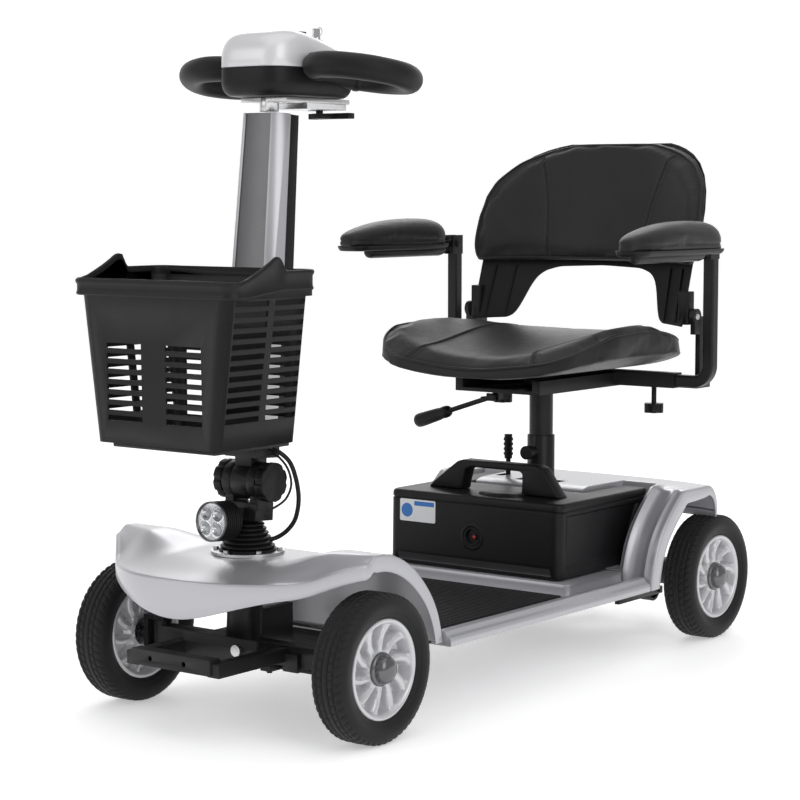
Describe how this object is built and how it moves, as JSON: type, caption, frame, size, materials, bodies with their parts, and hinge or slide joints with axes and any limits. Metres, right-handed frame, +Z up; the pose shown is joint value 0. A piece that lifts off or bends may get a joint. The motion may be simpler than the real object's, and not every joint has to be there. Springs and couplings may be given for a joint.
{
  "type": "mobility scooter",
  "caption": "Mobility scooter with folding tiller, front basket, swivelling padded seat, flip-up armrests, lift-out battery box and linked front steering.",
  "frame": {"origin": "middle of the whole length and width, on the ground below the tyres", "axes": "+Z up, the rider faces -Y, +X is the rider's left"},
  "size_m": [0.592, 1.169, 0.94],
  "materials": {
    "cover_silver": "satin silver paint on moulded plastic",
    "frame_black": "satin black powder coat",
    "floor_silver": "satin silver paint on moulded plastic",
    "mat_rubber": "ribbed rubber",
    "steel": "zinc-plated steel",
    "drive_grey": "dark grey painted motor and gear case",
    "box_black": "satin-gloss black plastic",
    "trim_black": "black plastic",
    "cell_grey": null,
    "column_grey": "dark grey plastic",
    "bright_metal": "satin aluminium",
    "reflector": "bright reflector",
    "foam_black": "black grip foam",
    "basket_black": "matte black plastic",
    "seat_leather": "black leatherette",
    "tyre_black": "black tyre rubber",
    "rim_silver": "silver painted rim",
    "horn_red": "red button",
    "cable_black": "black cable sheath"
  },
  "bodies": {
    "chassis": {"frame": "frame_black", "front_cover": "cover_silver", "floor_pan": "floor_silver", "floor_mat": "mat_rubber", "rear_cover": "cover_silver", "drive_unit": "drive_grey", "controller": "bright_metal", "seat_tube": "frame_black", "stem_boot": "foam_black", "stem_flange": "steel", "fasteners": "steel", "bearings": "steel"},
    "battery": {"battery_case": "box_black", "battery_handle": "trim_black", "battery_cells": "cell_grey", "charge_socket": "trim_black"},
    "stem": {"steering_stem": "frame_black", "headlamp_body": "trim_black", "headlamp_reflector": "reflector", "tiller_cable": "cable_black"},
    "tiller": {"tiller_hinge": "frame_black", "tiller_column": "column_grey", "column_trim": "cover_silver", "head_bracket": "bright_metal", "head_lower_shell": "box_black", "head_upper_shell": "cover_silver", "handlebar": "foam_black", "basket_bracket": "frame_black"},
    "throttle": {"throttle_lever": "trim_black"},
    "key": {"key": "steel"},
    "speed_dial": {"speed_dial": "trim_black"},
    "horn_button": {"horn_button": "horn_red"},
    "fold_clamp": {"fold_knobs": "trim_black"},
    "basket": {"basket": "basket_black"},
    "knuckle_left": {"steering_knuckle_left": "frame_black"},
    "knuckle_right": {"steering_knuckle_right": "frame_black"},
    "tie_rod": {"tie_rod": "frame_black"},
    "wheel_front_left": {"front_left_tyre": "tyre_black", "front_left_rim": "rim_silver"},
    "wheel_front_right": {"front_right_tyre": "tyre_black", "front_right_rim": "rim_silver"},
    "wheel_rear_left": {"rear_left_tyre": "tyre_black", "rear_left_rim": "rim_silver"},
    "wheel_rear_right": {"rear_right_tyre": "tyre_black", "rear_right_rim": "rim_silver"},
    "post": {"seat_post": "frame_black"},
    "height_pin": {"height_pin": "trim_black"},
    "seat": {"seat_frame": "frame_black", "seat_cushion": "seat_leather"},
    "swivel_lever": {"swivel_lever": "trim_black"},
    "backrest": {"backrest_frame": "trim_black", "backrest_cushion": "seat_leather"},
    "arm_l": {"arm_left": "frame_black"},
    "arm_r": {"arm_right": "frame_black"},
    "pad_l": {"arm_pad_left": "seat_leather"},
    "pad_r": {"arm_pad_right": "seat_leather"},
    "arm_knob_l": {"arm_knob_left": "trim_black"},
    "arm_knob_r": {"arm_knob_right": "trim_black"},
    "freewheel": {"freewheel_lever": "trim_black"},
    "anti_tip": {"anti_tip_rollers": "trim_black"}
  },
  "joints": [
    {"name": "tiller_steer", "type": "hinge", "parent": "chassis", "child": "stem", "pos_m": [0, -0.399, 0.231], "axis": [0, 0.0698, 0.9976], "range_deg": [-28, 28]},
    {"name": "knuckle_left_steer", "type": "hinge", "parent": "chassis", "child": "knuckle_left", "pos_m": [0.16, -0.3965, 0.1], "axis": [0, 0, 1], "range_deg": [-28, 28]},
    {"name": "knuckle_right_steer", "type": "hinge", "parent": "chassis", "child": "knuckle_right", "pos_m": [-0.16, -0.3965, 0.1], "axis": [0, 0, 1], "range_deg": [-28, 28]},
    {"name": "tie_rod_hinge", "type": "hinge", "parent": "knuckle_left", "child": "tie_rod", "pos_m": [0.16, -0.3395, 0.065], "axis": [0, 0, 1], "range_deg": [-28, 28]},
    {"name": "wheel_front_left_spin", "type": "hinge", "parent": "knuckle_left", "child": "wheel_front_left", "pos_m": [0.213, -0.3965, 0.1], "axis": [1, 0, 0], "continuous": true},
    {"name": "wheel_front_right_spin", "type": "hinge", "parent": "knuckle_right", "child": "wheel_front_right", "pos_m": [-0.213, -0.3965, 0.1], "axis": [1, 0, 0], "continuous": true},
    {"name": "wheel_rear_left_spin", "type": "hinge", "parent": "chassis", "child": "wheel_rear_left", "pos_m": [0.213, 0.4845, 0.1], "axis": [1, 0, 0], "continuous": true},
    {"name": "wheel_rear_right_spin", "type": "hinge", "parent": "chassis", "child": "wheel_rear_right", "pos_m": [-0.213, 0.4845, 0.1], "axis": [1, 0, 0], "continuous": true},
    {"name": "tiller_fold", "type": "hinge", "parent": "stem", "child": "tiller", "pos_m": [0, -0.39209, 0.32976], "axis": [1, 0, 0], "range_deg": [-24, 0]},
    {"name": "fold_clamp_turn", "type": "hinge", "parent": "stem", "child": "fold_clamp", "pos_m": [0, -0.39209, 0.32976], "axis": [1, 0, 0], "continuous": true},
    {"name": "throttle_push", "type": "hinge", "parent": "tiller", "child": "throttle", "pos_m": [0, -0.241, 0.83], "axis": [0, 0, 1], "range_deg": [-12, 12], "stiffness_Nm_per_rad": 0.2},
    {"name": "key_turn", "type": "hinge", "parent": "tiller", "child": "key", "pos_m": [0.03, -0.284, 0.91], "axis": [0, 0, 1], "range_deg": [0, 90]},
    {"name": "speed_dial_turn", "type": "hinge", "parent": "tiller", "child": "speed_dial", "pos_m": [0, -0.286, 0.91], "axis": [0, 0, 1], "range_deg": [-135, 135]},
    {"name": "horn_press", "type": "slide", "parent": "tiller", "child": "horn_button", "axis": [0, 0, -1], "range_m": [0, 0.003], "stiffness_N_per_m": 200},
    {"name": "basket_lift", "type": "slide", "parent": "tiller", "child": "basket", "axis": [0, 0, 1], "range_m": [0, 0.12]},
    {"name": "battery_lift", "type": "slide", "parent": "chassis", "child": "battery", "axis": [0, 0, 1], "range_m": [0, 0.04]},
    {"name": "seat_height", "type": "slide", "parent": "chassis", "child": "post", "axis": [0, 0, 1], "range_m": [0, 0.06]},
    {"name": "height_pin_pull", "type": "slide", "parent": "chassis", "child": "height_pin", "axis": [0, -1, 0], "range_m": [0, 0.008], "stiffness_N_per_m": 400},
    {"name": "seat_swivel", "type": "hinge", "parent": "post", "child": "seat", "pos_m": [0, 0.319, 0.41], "axis": [0, 0, 1], "continuous": true},
    {"name": "swivel_lever_lift", "type": "hinge", "parent": "seat", "child": "swivel_lever", "pos_m": [-0.028, 0.244, 0.397], "axis": [0, 1, 0], "range_deg": [0, 10], "stiffness_Nm_per_rad": 2, "springref_deg": -5.73},
    {"name": "backrest_fold", "type": "hinge", "parent": "seat", "child": "backrest", "pos_m": [0, 0.429, 0.522], "axis": [1, 0, 0], "range_deg": [0, 65]},
    {"name": "arm_left_width", "type": "slide", "parent": "seat", "child": "arm_l", "axis": [1, 0, 0], "range_m": [0, 0.04]},
    {"name": "arm_right_width", "type": "slide", "parent": "seat", "child": "arm_r", "axis": [-1, 0, 0], "range_m": [0, 0.04]},
    {"name": "pad_left_flip", "type": "hinge", "parent": "arm_l", "child": "pad_l", "pos_m": [0.25, 0.42, 0.632], "axis": [-1, 0, 0], "range_deg": [0, 95]},
    {"name": "pad_right_flip", "type": "hinge", "parent": "arm_r", "child": "pad_r", "pos_m": [-0.25, 0.42, 0.632], "axis": [-1, 0, 0], "range_deg": [0, 95]},
    {"name": "arm_knob_left_turn", "type": "hinge", "parent": "seat", "child": "arm_knob_l", "pos_m": [0.147, 0.424, 0.38], "axis": [0, 0, 1], "continuous": true},
    {"name": "arm_knob_right_turn", "type": "hinge", "parent": "seat", "child": "arm_knob_r", "pos_m": [-0.147, 0.424, 0.38], "axis": [0, 0, 1], "continuous": true},
    {"name": "freewheel_tilt", "type": "hinge", "parent": "chassis", "child": "freewheel", "pos_m": [-0.085, 0.35, 0.214], "axis": [1, 0, 0], "range_deg": [0, 18]},
    {"name": "anti_tip_spin", "type": "hinge", "parent": "chassis", "child": "anti_tip", "pos_m": [0, 0.564, 0.05], "axis": [1, 0, 0], "continuous": true}
  ],
  "couplings": [
    {"joint": "knuckle_left_steer", "follows": "tiller_steer", "ratio": 1},
    {"joint": "knuckle_right_steer", "follows": "tiller_steer", "ratio": 1},
    {"joint": "tie_rod_hinge", "follows": "tiller_steer", "ratio": -1}
  ]
}
